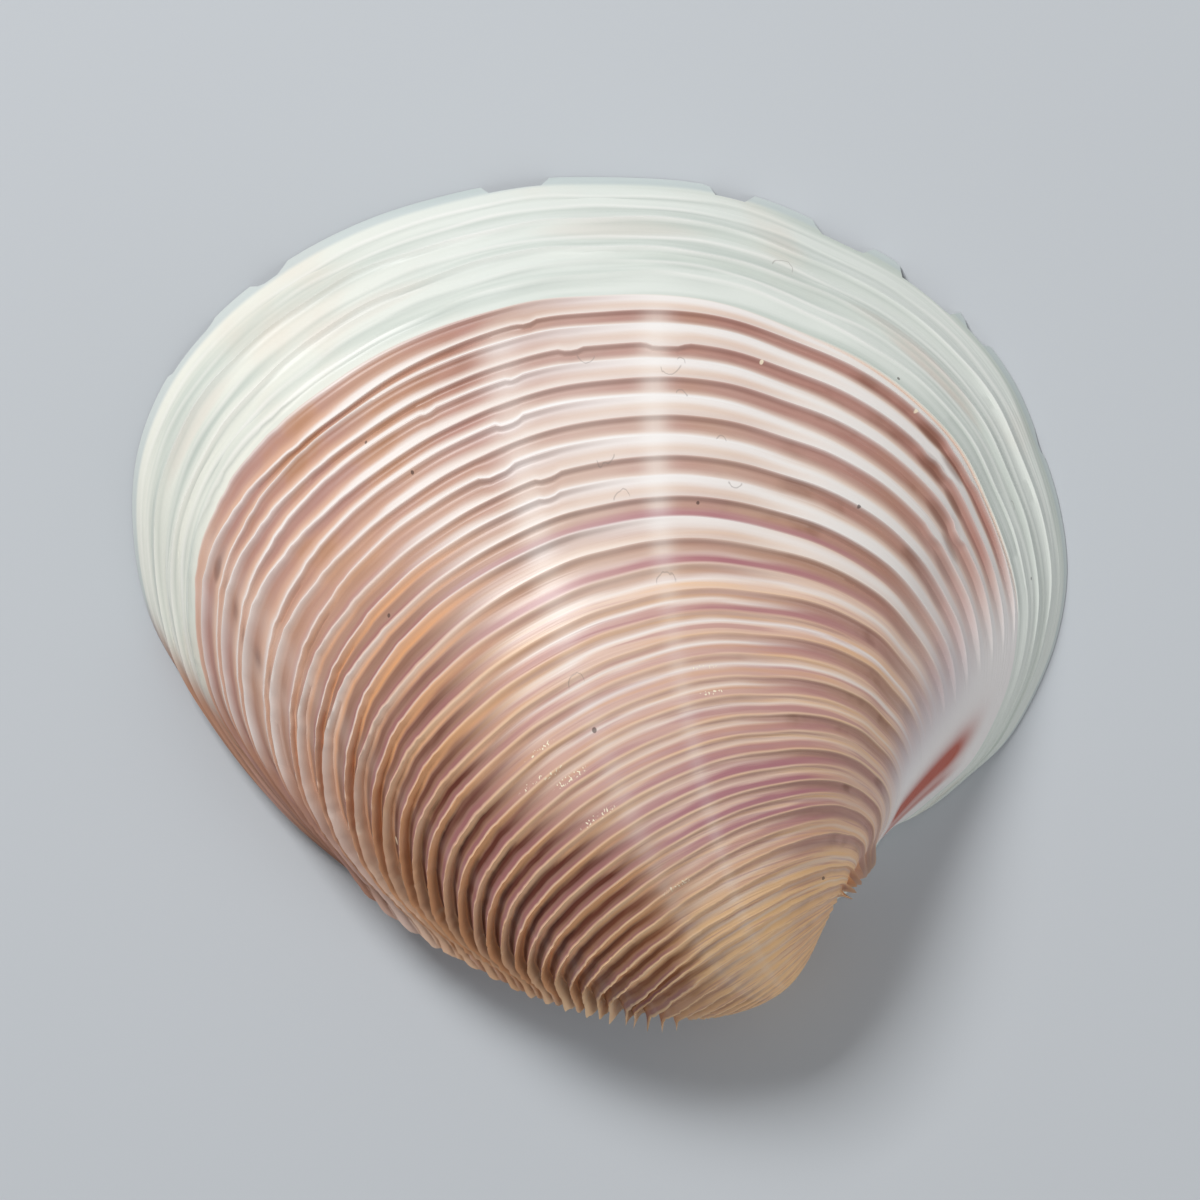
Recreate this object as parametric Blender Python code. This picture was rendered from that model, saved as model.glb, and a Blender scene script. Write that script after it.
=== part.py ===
"""Left valve of a ridged venus clam, about 38 mm long, lying on its rim with the dome up.

The shell follows its own growth: the rim is one flat outline, and every older rim is the same outline
made smaller and turned about the hinge axis, so the stages wind up into the beak. The ridges are old
rims that stand a little proud. Lengths are in millimetres until the mesh is made.

u runs once round the rim: 0 at the hollow in front of the beak, about 0.12 at the front end (+X),
0.37 at the lower edge (+Y), 0.62 at the back end (-X), and 0.81 to 1 along the hinge.
turn is the angle in radians by which a growth stage lies behind the present rim.
"""
import bpy
import numpy as np

MM = 0.001
COLLECTION = "lamelliconcha_circinata"
NODE = "left_valve"

# Rim outline, seen from outside, starting at the hollow in front of the beak.
RIM = (
    (11.9, -9.3), (13.5, -8.5), (15.1, -7.2), (16.6, -5.8), (17.8, -3.8), (18.7, -1.5), (19.1, 1.1),
    (18.8, 3.8), (18.0, 6.4), (16.9, 9.0), (15.0, 11.5), (12.5, 13.6), (9.7, 15.1), (6.7, 16.4),
    (3.7, 17.1), (-0.4, 17.3), (-2.9, 17.2), (-6.1, 16.6), (-9.4, 15.6), (-12.6, 14.0), (-15.5, 11.8),
    (-17.7, 9.1), (-18.9, 6.1), (-19.1, 2.9), (-18.4, -0.7), (-16.5, -4.0), (-14.1, -7.1),
    (-11.5, -9.6), (-9.0, -11.7), (-6.8, -13.5), (-3.9, -15.0), (0.0, -14.3), (4.1, -13.6),
    (7.6, -12.9), (10.0, -12.1),
)
MIDDLE = np.array((0.0, 1.0))
HINGE_START = 0.81          # the rim beyond this u is the hinge side
HINGE_SIDE = ((0.81, 0.85), (0.97, 1.0))        # u over which the hinge side fades in and out again
PLATE_SIDE = ((0.82, 0.86), (0.925, 0.955))     # the same for the sunken plate

# Growth: where the beak is, which way the hinge axis runs and how fast the stages shrink.
BEAK = np.array((7.35, -13.81, 0.37))
AXIS_HEADING = 0.280
AXIS_RISE = 0.293
SHRINK = 0.783
SHRINK_MORE = 0.101
LAST_TURN = 2.75
# How far a young outline bulges beyond the present one, as (cosine, sine) heights by harmonic.
YOUNG_BULGE = ((0.16, 0.0), (0.22, 0.20), (-1.01, 0.81), (0.43, 0.93))
YOUNG_RATE = 1.5

# Ridges: the turns at which the full-length ones crest, and how high they stand.
MAIN_RIDGES = (0.211, 0.262, 0.314, 0.376, 0.436, 0.500, 0.566, 0.636, 0.714, 0.788, 0.870, 0.956,
               1.042, 1.134, 1.230, 1.336, 1.444)
BETWEEN = 0.46              # a shorter ridge crests at this share of the gap behind each one
FIRST_SHORT_RIDGE = 0.182
RIDGE_HEIGHT = 0.34
BLADE_HEIGHT = 0.50         # added on the steep back slope
CREST_SHARE = 0.35          # this much of a ridge stands above the growth surface, the rest is its groove
RIDGE_GAP = 0.042           # turn between neighbouring ridges, where they are closest
HEIGHT_LIMIT = 1.1          # no ridge is taller than this many gaps
RIDGE_DROP = 0.010          # turn taken by the steep side of a ridge
BLADES_BY_U = (0.58, 0.66)          # the blades grow up over this u and this turn
BLADES_BY_TURN = (0.2, 0.6)
FRONT_FADE = (0.08, 0.16)           # the ridges die out over this u towards the hollow
YOUNG_FRONT_FADE = (0.01, 0.05)     # the young ridges reach further forward, beyond the turn below
YOUNG_FRONT_BY_TURN = (0.9, 1.1)
SHORT_FADE = (0.33, 0.44)           # a short ridge starts over this u, unless it lies beyond the turn below
SHORT_BY_TURN = (0.55, 0.75)
PART_HEIGHT = 0.8                   # of a ridge in the two young stretches
HINGE_FADE = (0.78, 0.84)           # the ridges close towards the hinge over this u
WORN_BY_TURN = (1.35, 1.55)         # and are worn away beyond this turn
RIM_WAVES = ((0.030, 0.0), (0.074, 0.07), (0.086, -0.04), (0.122, 0.08), (0.134, -0.04))

# Chips in the thin edge: the u where each starts and ends, and how deep it is.
CHIP_EDGE = 0.003
CHIPS = ((0.166, 0.174, 0.10), (0.213, 0.225, 0.26), (0.230, 0.256, 0.46), (0.270, 0.291, 0.42),
         (0.318, 0.333, 0.38), (0.395, 0.418, 0.30), (0.499, 0.511, 0.25), (0.533, 0.558, 0.12))

# The flat edge, the wall and the hinge plate with its teeth.
EDGE_WIDTH = 0.45
HINGE_EDGE_WIDTH = 0.60
WALL = 1.15
HINGE_WIDTH = 3.0
PLATE_DEPTH = 0.8
HOLLOW_TURNS = (0.20, 1.90)
HOLLOW_STEPS = 9
# Rows across the plate: turn and inset round the open rim, inset along the hinge, share of the teeth.
PLATE_ROWS = ((0.02, 0.75, 0.75, 0.0), (0.04, 0.90, 1.00, 1.0), (0.06, 1.00, 1.80, 1.0),
              (0.08, 1.10, 2.60, 0.8), (0.11, 1.20, HINGE_WIDTH, 0.0))
# Teeth: the u of each, its half width in u and how far it stands up from the plate.
TEETH = ((0.868, 0.007, 0.50), (0.888, 0.006, 0.70), (0.906, 0.006, 0.75), (0.924, 0.006, 0.60))

# Points in an outer row, by the greatest turn that each count serves.
ROW_COUNTS = ((0.01, 96), (0.15, 64), (0.51, 58), (0.80, 54), (1.05, 46), (1.30, 38), (1.60, 28),
              (2.10, 18), (LAST_TURN, 12))
HINGE_POINTS = 0.14         # this share of a row's points lies along the hinge
PLATE_COUNT = 64
HOLLOW_COUNT = 36
SMOOTH_BEAK = (0.15, 8)     # how far past the last ridge the plain beak starts, and its rows
CREASE_ANGLE = 35


def smooth_step(value, low, high):
    """0 below low, 1 above high and an even S between them."""
    t = np.clip((value - low) / (high - low), 0.0, 1.0)
    return t * t * (3.0 - 2.0 * t)


def closed_curve(points, steps=24):
    """Smooth closed curve through the points, with the length run so far as a share of the whole."""
    points = np.asarray(points, float)
    count = len(points)
    pieces = []
    for i in range(count):
        p = [points[(i + k) % count] for k in (-1, 0, 1, 2)]
        knots = np.cumsum([0.0] + [np.linalg.norm(p[k + 1] - p[k]) ** 0.5 for k in range(3)])
        t = np.linspace(knots[1], knots[2], steps, endpoint=False)[:, None]

        def mix(a, b, start, end):
            return ((end - t) * a + (t - start) * b) / (end - start)

        a = [mix(p[k], p[k + 1], knots[k], knots[k + 1]) for k in range(3)]
        b = [mix(a[k], a[k + 1], knots[k], knots[k + 2]) for k in range(2)]
        pieces.append(mix(b[0], b[1], knots[1], knots[2]))
    curve = np.vstack(pieces + [points[:1]])
    length = np.concatenate(([0.0], np.cumsum(np.linalg.norm(np.diff(curve, axis=0), axis=1))))
    return curve, length / length[-1]


CURVE, SHARE = closed_curve(RIM)


def rim_point(u):
    return np.column_stack([np.interp(u % 1.0, SHARE, CURVE[:, k]) for k in range(2)])


def rim_outward(u):
    """Unit vectors in the rim's plane, square to the rim and pointing outwards."""
    along = rim_point(u + 0.004) - rim_point(u - 0.004)
    along /= np.linalg.norm(along, axis=1)[:, None]
    return np.column_stack((along[:, 1], -along[:, 0]))


def young_bulge(turn, u):
    angle = 2.0 * np.pi * u
    bulge = sum(c * np.cos(k * angle) + s * np.sin(k * angle) for k, (c, s) in enumerate(YOUNG_BULGE))
    return bulge * (1.0 - np.exp(-YOUNG_RATE * turn))


def shrink(turn):
    return np.exp(-(SHRINK + SHRINK_MORE * turn) * turn)


def grow(turn, u, inset=0.0):
    """Points of the growth surface, each at its own turn and u, drawn in towards the middle by inset."""
    turn = np.broadcast_to(turn, u.shape)
    rim = rim_point(u)
    inwards = MIDDLE - rim
    inwards /= np.linalg.norm(inwards, axis=1)[:, None]
    inset = np.broadcast_to(inset, u.shape)[:, None]
    outline = rim + young_bulge(turn, u)[:, None] * rim_outward(u) + inset * inwards
    arm = np.column_stack((outline, np.zeros(len(u)))) - BEAK
    axis = np.array((np.cos(AXIS_HEADING) * np.cos(AXIS_RISE),
                     np.sin(AXIS_HEADING) * np.cos(AXIS_RISE), np.sin(AXIS_RISE)))
    along = (arm @ axis)[:, None] * axis
    turned = np.cos(turn)[:, None] * (arm - along) + np.sin(turn)[:, None] * np.cross(axis, arm)
    return BEAK + shrink(turn)[:, None] * (along + turned)


def outward(turn, u):
    """Unit normals of the growth surface, pointing out of the shell."""
    by_turn = grow(turn + 0.01, u) - grow(turn - 0.01, u)
    by_u = grow(turn, u + 0.003) - grow(turn, u - 0.003)
    normal = np.cross(by_u, by_turn)
    return normal / np.linalg.norm(normal, axis=1)[:, None]


def hinge_share(u):
    """1 along the hinge, 0 round the open rim."""
    start, end = HINGE_SIDE
    return smooth_step(u, *start) * (1.0 - smooth_step(u, *end))


def plate_share(u):
    """1 where the hinge plate lies its full depth back from the rest plane."""
    start, end = PLATE_SIDE
    return smooth_step(u, *start) * (1.0 - smooth_step(u, *end))


def edge_turn(u):
    """The turn at which the rim starts: 0, or further back at a chip."""
    depth = np.zeros(len(u))
    for start, end, deep in CHIPS:
        entered = smooth_step(u, start - CHIP_EDGE, start + CHIP_EDGE)
        left = smooth_step(u, end - CHIP_EDGE, end + CHIP_EDGE)
        depth = np.maximum(depth, deep * entered * (1.0 - left))
    return depth / (SHRINK * np.linalg.norm(rim_point(u) - BEAK[:2], axis=1))


def ridge_height(turn, u, short):
    """Height of a ridge: low across the middle, tall blades on the back slope, none in the hollow."""
    blades = smooth_step(u, *BLADES_BY_U) * smooth_step(turn, *BLADES_BY_TURN)
    by_beak = PART_HEIGHT * smooth_step(turn, *YOUNG_FRONT_BY_TURN) * smooth_step(u, *YOUNG_FRONT_FADE)
    reach = np.maximum(smooth_step(u, *FRONT_FADE), by_beak)
    if short:
        young = PART_HEIGHT * smooth_step(turn, *SHORT_BY_TURN)
        reach = reach * np.maximum(smooth_step(u, *SHORT_FADE), young)
    height = RIDGE_HEIGHT * reach + BLADE_HEIGHT * blades
    step = np.linalg.norm(grow(turn + 0.01, u) - grow(turn - 0.01, u), axis=1) / 0.02
    height = np.minimum(height, HEIGHT_LIMIT * RIDGE_GAP * step)
    kept = (1.0 - smooth_step(u, *HINGE_FADE)) * (1.0 - smooth_step(turn, *WORN_BY_TURN))
    return height * kept


def ridge_list():
    """All ridges as (turn of the crest, whether it is a short one), from the rim to the beak."""
    ridges = [(FIRST_SHORT_RIDGE, True)]
    for here, behind in zip(MAIN_RIDGES, MAIN_RIDGES[1:]):
        ridges += [(here, False), (here + BETWEEN * (behind - here), True)]
    return ridges + [(MAIN_RIDGES[-1], False)]


def spread(count, hinge_count):
    """u of a row's points: hinge_count of them along the hinge, the rest round the open rim."""
    open_u = np.linspace(0.0, HINGE_START, count - hinge_count, endpoint=False)
    return np.concatenate((open_u, np.linspace(HINGE_START, 1.0, hinge_count, endpoint=False)))


def outer_row(turn, lift):
    """A row of the outer face as (points, u); lift gives how far each point stands off the surface."""
    count = next(count for limit, count in ROW_COUNTS if turn <= limit)
    u = spread(count, max(4, round(HINGE_POINTS * count)))
    start = edge_turn(u)
    turns = np.maximum(turn, start * (1.0 + turn))
    points = grow(turns, u) + lift(turns, u)[:, None] * outward(turns, u)
    return points, u


def outer_rows():
    rows = [outer_row(0.0, lambda t, u: np.zeros(len(u)))]
    for turn, height in RIM_WAVES:
        rows.append(outer_row(turn, lambda t, u: height * (1.0 - hinge_share(u)) * smooth_step(u, 0.0, 0.1)))
    for crest, short in ridge_list():
        rows.append(outer_row(crest, lambda t, u: CREST_SHARE * ridge_height(t, u, short)))
        groove = crest + RIDGE_DROP
        rows.append(outer_row(groove, lambda t, u: (CREST_SHARE - 1.0) * ridge_height(t, u, short)))
    past, steps = SMOOTH_BEAK
    for turn in np.linspace(MAIN_RIDGES[-1] + past, LAST_TURN, steps):
        rows.append(outer_row(turn, lambda t, u: np.zeros(len(u))))
    return rows


def edge_row():
    """The inner line of the flat edge on which the valve rests."""
    _, u = outer_row(0.0, lambda t, u: np.zeros(len(u)))
    width = EDGE_WIDTH + (HINGE_EDGE_WIDTH - EDGE_WIDTH) * hinge_share(u)
    return grow(edge_turn(u), u, width), u


def plate_row(open_turn, open_inset, hinge_inset, tooth_share):
    """A row that runs along the hinge plate and round the foot of the wall."""
    u = spread(PLATE_COUNT, PLATE_COUNT // 2)
    hinge = hinge_share(u)
    turns = np.maximum(open_turn * (1.0 - hinge), edge_turn(u) + 0.3 * open_turn)
    teeth = sum(tall * np.exp(-((u - middle) / wide) ** 2) for middle, wide, tall in TEETH)
    points = grow(turns, u, open_inset + (hinge_inset - open_inset) * hinge)
    points[:, 2] += plate_share(u) * (PLATE_DEPTH - tooth_share * teeth)
    return points, u


def hollow_row(turn):
    """A row of the inside of the dome, a wall's thickness inside the outer face."""
    u = spread(HOLLOW_COUNT, HOLLOW_COUNT // 4)
    hinge = hinge_share(u)
    wall = WALL / shrink(turn)
    inset = wall + np.maximum(HINGE_WIDTH - wall, 0.0) * hinge
    points = grow(np.full(len(u), turn), u, inset)
    points[:, 2] += plate_share(u) * PLATE_DEPTH * shrink(turn)
    return points, u


def inner_rows():
    rows = [edge_row()] + [plate_row(*row) for row in PLATE_ROWS]
    return rows + [hollow_row(turn) for turn in np.linspace(*HOLLOW_TURNS, HOLLOW_STEPS)]


def bridge(rows, starts, row_a, row_b):
    """Triangles between two rows, stepping along whichever row is further behind."""
    (_, u_a), (_, u_b) = rows[row_a], rows[row_b]
    count_a, count_b = len(u_a), len(u_b)
    ahead_a = np.append(u_a[1:], 1.0)
    ahead_b = np.append(u_b[1:], 1.0)
    a = b = 0
    faces = []
    while a < count_a or b < count_b:
        here_a = starts[row_a] + a % count_a
        here_b = starts[row_b] + b % count_b
        if b == count_b or (a < count_a and ahead_a[a] <= ahead_b[b]):
            a += 1
            faces.append((here_a, here_b, starts[row_a] + a % count_a))
        else:
            b += 1
            faces.append((here_a, here_b, starts[row_b] + b % count_b))
    return faces


def close_row(start, count, tip):
    """A fan of triangles from a row to its tip point, facing out at the beak."""
    return [(start + i, start + (i + 1) % count, tip) for i in range(count)]


def build_valve():
    """One closed body: outer face, flat edge, hinge plate and hollow as one run of rows."""
    outer, inner = outer_rows(), inner_rows()
    rows = outer[::-1] + inner
    starts = np.cumsum([0] + [len(u) for _, u in rows]).tolist()
    faces = []
    for row in range(len(rows) - 1):
        faces += bridge(rows, starts, row, row + 1)
    beak_tip, hollow_tip = starts[-1], starts[-1] + 1
    faces += close_row(starts[0], len(rows[0][1]), beak_tip)
    faces += [face[::-1] for face in close_row(starts[-2], len(rows[-1][1]), hollow_tip)]
    tips = [points.mean(axis=0) for points, _ in (rows[0], rows[-1])]
    points = np.vstack([points for points, _ in rows] + tips)
    low, high = points.min(axis=0), points.max(axis=0)
    points -= ((low[0] + high[0]) / 2, (low[1] + high[1]) / 2, low[2])
    mesh = bpy.data.meshes.new(NODE)
    mesh.from_pydata((points * MM).tolist(), [], faces)
    mesh.validate()
    mesh.shade_smooth()
    mesh.set_sharp_from_angle(angle=np.radians(CREASE_ANGLE))
    return bpy.data.objects.new(NODE, mesh)


def shell_material():
    material = bpy.data.materials.new("porcelain_shell")
    material.use_nodes = True
    surface = material.node_tree.nodes["Principled BSDF"]
    surface.inputs["Base Color"].default_value = (0.62, 0.42, 0.33, 1.0)
    surface.inputs["Roughness"].default_value = 0.35
    surface.inputs["Metallic"].default_value = 0.0
    return material


def main():
    for old in list(bpy.data.objects):
        bpy.data.objects.remove(old)
    collection = bpy.data.collections.new(COLLECTION)
    bpy.context.scene.collection.children.link(collection)
    valve = build_valve()
    valve.data.materials.append(shell_material())
    collection.objects.link(valve)


main()
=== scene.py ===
"""Studio scene of the left valve of a ridged venus clam, lying on its rim and seen from straight above.

The valve is built from its growth stages. u runs once round the rim: 0 at the hollow in front of the
beak, about 0.12 at the front end (+X), 0.37 at the lower edge (+Y), 0.62 at the back end (-X) and 0.81
to 1 along the hinge. turn is the angle in radians by which a stage lies behind the present rim.
Lengths are in millimetres until a mesh is made. A pair named for a zone of the shell, such as
FAR_BACK, gives the u or the turn over which that zone fades in or out.
"""

import bpy
import numpy as np
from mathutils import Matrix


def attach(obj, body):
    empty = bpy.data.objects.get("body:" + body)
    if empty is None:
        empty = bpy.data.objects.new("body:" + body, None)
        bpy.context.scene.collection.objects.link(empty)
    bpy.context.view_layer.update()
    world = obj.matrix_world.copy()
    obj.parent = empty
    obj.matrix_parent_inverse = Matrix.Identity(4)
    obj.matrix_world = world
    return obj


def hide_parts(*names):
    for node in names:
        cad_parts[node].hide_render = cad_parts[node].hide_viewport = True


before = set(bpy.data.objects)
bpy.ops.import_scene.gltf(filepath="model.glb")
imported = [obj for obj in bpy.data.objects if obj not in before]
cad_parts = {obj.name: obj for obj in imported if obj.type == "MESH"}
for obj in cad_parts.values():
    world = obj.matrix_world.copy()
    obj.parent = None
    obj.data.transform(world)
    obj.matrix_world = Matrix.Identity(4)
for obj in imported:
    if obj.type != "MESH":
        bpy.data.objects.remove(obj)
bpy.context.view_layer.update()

MM = 0.001

# The camera looks straight down on the middle of the photograph.
CAMERA_HEIGHT = 350.0
FRAME_WIDTH = 49.08
FRAME_MIDDLE = (0.017, -0.217)
SENSOR = 36.0
CLIP_START = 10.0

# Lamps as name, place, size and power; the sky; the floor, just below the rest plane.
LAMPS = (("key", (-165.0, 230.0, 290.0), 120.0, 1.32), ("fill", (240.0, -160.0, 240.0), 260.0, 0.38))
SKY = (0.95, 0.97, 1.0, 1.0)
SKY_STRENGTH = 0.20
FLOOR_SIDE = 600.0  # from the middle to each side
FLOOR_DROP = 0.05

# Rim outline, seen from outside, starting at the hollow in front of the beak.
RIM = (
    (11.9, -9.3), (13.5, -8.5), (15.1, -7.2), (16.6, -5.8), (17.8, -3.8), (18.7, -1.5), (19.1, 1.1),
    (18.8, 3.8), (18.0, 6.4), (16.9, 9.0), (15.0, 11.5), (12.5, 13.6), (9.7, 15.1), (6.7, 16.4),
    (3.7, 17.1), (-0.4, 17.3), (-2.9, 17.2), (-6.1, 16.6), (-9.4, 15.6), (-12.6, 14.0), (-15.5, 11.8),
    (-17.7, 9.1), (-18.9, 6.1), (-19.1, 2.9), (-18.4, -0.7), (-16.5, -4.0), (-14.1, -7.1),
    (-11.5, -9.6), (-9.0, -11.7), (-6.8, -13.5), (-3.9, -15.0), (0.0, -14.3), (4.1, -13.6),
    (7.6, -12.9), (10.0, -12.1),
)
MIDDLE = np.array((0.0, 1.0))
HINGE_START = 0.81
HINGE_SIDE = ((0.81, 0.85), (0.97, 1.0))  # u over which the hinge side fades in and out again
PLATE_SIDE = ((0.82, 0.86), (0.925, 0.955))  # the same for the sunken plate

# Growth: where the beak is, which way the hinge axis runs and how fast the stages shrink.
BEAK = np.array((7.35, -13.81, 0.37))
AXIS_HEADING = 0.280
AXIS_RISE = 0.293
SHRINK = 0.783
SHRINK_MORE = 0.101
LAST_TURN = 2.75
YOUNG_BULGE = ((0.16, 0.0), (0.22, 0.20), (-1.01, 0.81), (0.43, 0.93))
YOUNG_RATE = 1.5

# Each ridge crests at its own turn at these four places round the rim. Short and long ridges take turns,
# a short one first. Long ones reach from front to back, short ones fade to a soft step towards the front.
RIDGE_STATIONS = (0.20, 0.42, 0.52, 0.60)
STATION_BLEND = 0.03  # u over which the run from one station to the next is rounded
RIDGES = (
    (0.200, 0.187, 0.182, 0.176), (0.212, 0.214, 0.225, 0.190), (0.236, 0.234, 0.231, 0.234),
    (0.260, 0.264, 0.265, 0.244), (0.292, 0.286, 0.283, 0.288), (0.312, 0.317, 0.320, 0.298),
    (0.350, 0.341, 0.343, 0.358), (0.372, 0.374, 0.378, 0.370), (0.412, 0.401, 0.403, 0.424),
    (0.436, 0.435, 0.438, 0.440), (0.472, 0.463, 0.465, 0.488), (0.502, 0.497, 0.500, 0.504),
    (0.538, 0.528, 0.530, 0.564), (0.568, 0.566, 0.577, 0.584), (0.604, 0.612, 0.612, 0.630),
    (0.644, 0.656, 0.657, 0.656), (0.684, 0.694, 0.694, 0.700), (0.720, 0.738, 0.740, 0.734),
    (0.760, 0.776, 0.776, 0.774), (0.802, 0.822, 0.824, 0.819), (0.840, 0.860, 0.864, 0.860),
    (0.880, 0.906, 0.906, 0.906), (0.920, 0.948, 0.950, 0.945), (0.964, 0.994, 0.992, 0.991),
    (1.005, 1.040, 1.042, 1.036), (1.046, 1.086, 1.086, 1.078), (1.084, 1.134, 1.134, 1.126),
    (1.122, 1.182, 1.182, 1.174), (1.172, 1.236, 1.240, 1.230), (1.222, 1.290, 1.286, 1.276),
    (1.295, 1.348, 1.352, 1.336), (1.372, 1.402, 1.402, 1.384), (1.425, 1.462, 1.478, 1.464),
    (1.480, 1.510, 1.504, 1.500),
)
CLOSEST = 0.004  # turn that two crests keep between them
FINE_RIDGES = (0.078, 11)  # spacing in turn and number of the worn ridges on the beak
FINE_WANDER = (0.010, 0.004)  # how far they stray, in a long and in a short wave

# How far a crest strays from its stations, in a long and in a short wave: everywhere, in front, on the
# back and near the beak.
LONG_STRAY = (0.0012, 0.004, 0.003, 0.0045)
SHORT_STRAY = (0.0, 0.0, 0.0016, 0.0022)
STRAY_FRONT = (0.15, 0.24)
STRAY_BACK = (0.48, 0.56)
STRAY_BEAK = (1.1, 1.5)

RIDGE_HEIGHT = 0.16
FRONT_HEIGHT = 0.16  # added in front
TALL_FRONT = (0.22, 0.32)
BLADE_HEIGHT = 0.50  # added on the back slope, where the ridges are blades
BLADES_BY_U = (0.50, 0.66)
BLADES_BY_TURN = (0.15, 0.70)
CALM = 0.62  # share of the height lost across the middle, nearer the beak
CALM_BY_TURN = (0.50, 0.75)
CALM_BY_U = (0.40, 0.50)
WORN_HEIGHT = (0.08, 0.20)  # on the front and on the back of the beak
WORN_BY_U = (0.40, 0.52)
WORN_BY_TURN = (1.50, 1.90)
BEAK_SMOOTH = (2.2, 2.5)
UNEVEN = 0.15  # how much taller or lower than the rule a pair of ridges may be
CREST_SHARE = 0.46  # this much of a ridge stands above the growth surface
CREST_WIDTH = 0.2  # of the way to the next ridge that a ragged or pointed edge takes up
STEEPEST = 1.0  # no ridge is taller than this many times the gap behind it
RAGGED = 0.07  # how far the edges of the blades rise and fall

# Where the ridges end.
FRONT_FADE = (0.11, 0.15)
YOUNG_FRONT_FADE = (0.02, 0.06)
YOUNG_FRONT_BY_TURN = (0.75, 1.1)
HINGE_FADE = (0.76, 0.82)
SHORT_FADE = (0.34, 0.16)  # u at which short ridges start, on the outer shell and further back
SHORT_FADE_WIDTH = 0.10
SHORT_BY_TURN = (0.50, 0.70)
SHORT_LOSS = 0.7  # share of themselves that the outer short ridges lose on the back slope
SHORT_LOSS_BY_U = (0.55, 0.60)
SHORT_LOSS_BY_TURN = (0.36, 0.50)
PAIR_SHARE = 0.6  # where a short ridge has faded, its share of the slope from long to long
PAIR_POWER = 1.1
PAIR_BY_U = (0.24, 0.34)

# Pointed ends of the long ridges behind and in front of the beak: turns, the u that they reach there,
# how far they stand out and how wide they are in u. Past the back ones the ridges run on lower.
BACK_TIPS = ((0.30, 0.55, 0.90, 1.20, 1.50, 1.80), (0.725, 0.722, 0.709, 0.675, 0.648, 0.612), 0.42, 0.013)
FRONT_TIPS = ((0.95, 1.15, 1.40, 1.56), (0.054, 0.064, 0.096, 0.116), 0.52, 0.015)
TIP_START = 0.1  # turn over which the tips grow up
PAST_TIP = (0.010, 0.030)  # in u beyond the tip
PAST_TIP_BY_TURN = (0.6, 0.8)
PAST_TIP_LOSS = 0.6

# Broken or lobed stretches of a crest: ridge, u, half width in u, turn by which it is set back.
LOBES = ((3, 0.342, 0.009, 0.006), (3, 0.385, 0.004, 0.004), (1, 0.404, 0.004, 0.003),
         (1, 0.193, 0.012, 0.006), (3, 0.198, 0.004, 0.0035), (3, 0.21, 0.004, 0.003),
         (5, 0.177, 0.005, 0.006), (7, 0.19, 0.005, 0.004), (6, 0.418, 0.006, 0.006),
         (8, 0.429, 0.009, 0.006), (4, 0.413, 0.003, 0.003), (4, 0.455, 0.002, 0.003),
         (9, 0.404, 0.006, 0.004), (10, 0.405, 0.004, 0.004))

# Soft growth waves of the white margin: turn, height.
MARGIN_WAVES = ((0.03, 0.06), (0.05, 0.08), (0.073, 0.25), (0.099, 0.12), (0.12, 0.26), (0.142, 0.12),
                (0.162, 0.19))
FRONT_WAVES = (0.08, 0.20)  # u over which the waves grow from a trace to their full height
FRONT_TRACE = 0.2
WAVE_ROWS = (-0.012, -0.004, 0.0, 0.004)  # rows at each wave, in turn from its crest
WAVE_WIDTHS = (0.014, 0.0040)  # in turn, towards the edge and towards the beak
WAVE_STRAY = 0.005
BORDER_ROWS = (-0.010, -0.0025)  # the last white rows, in turn from the first ridge
MARGIN_STEP = 0.0008  # turn kept to the edge and to the first ridge, for each row between
MARGIN_STEPS = 45
FIRST_RIDGE_WIDTH = 0.02  # turn over which the first ridge rises from the margin

# Chips in the thin edge: the u where each starts and ends, and how deep it is.
CHIP_EDGE = 0.0015
CHIPS = ((0.166, 0.174, 0.1), (0.213, 0.225, 0.26), (0.23, 0.256, 0.46), (0.27, 0.291, 0.42),
         (0.318, 0.333, 0.38), (0.395, 0.418, 0.3), (0.499, 0.511, 0.25), (0.533, 0.558, 0.12))

# The flat edge, the wall and the hinge plate with its teeth.
EDGE_WIDTH = 0.45
HINGE_EDGE_WIDTH = 0.60
WALL = 1.15
HINGE_WIDTH = 3.0
PLATE_DEPTH = 0.8
HOLLOW_TURNS = (0.20, 1.90)
HOLLOW_STEPS = 16
PLATE_ROWS = ((0.02, 0.75, 0.75, 0.0), (0.04, 0.90, 1.00, 1.0), (0.06, 1.00, 1.80, 1.0),
              (0.08, 1.10, 2.60, 0.8), (0.11, 1.20, HINGE_WIDTH, 0.0))
TEETH = ((0.868, 0.007, 0.5), (0.888, 0.006, 0.7), (0.906, 0.006, 0.75), (0.924, 0.006, 0.6))

# Rows across one ridge, from its crest to just short of the next one, as shares of the way.
FOOT = (0.24, 0.07)  # share of the way taken by the drop behind a low ridge and behind a blade
RISE_POWER = (1.1, 2.0)  # how late the next one rises, in low ridges and in blades
RIDGE_PHASES = (0.0, 0.06, 0.14, 0.27, 0.42, 0.58, 0.74, 0.87, 0.96)
FINE_PHASES = (0.0, 0.15, 0.40, 0.65, 0.90)
# Points in a row, by the greatest turn that each count serves.
ROW_COUNTS = ((0.59, 316), (1.00, 240), (1.40, 190), (2.20, 110), (LAST_TURN, 30))
HINGE_POINTS = 0.10  # share of a row's points along the hinge, and the fewest there
FEWEST_HINGE_POINTS = 4
INNER_COUNT = 150
INNER_HINGE_COUNT = 50
SMOOTH_BEAK_ROWS = 8
CREASE_ANGLE = 50
PART_MIDDLE = np.array((-0.0167, 0.217, 0.0))  # of the rim, from which the part's own frame is measured

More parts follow.
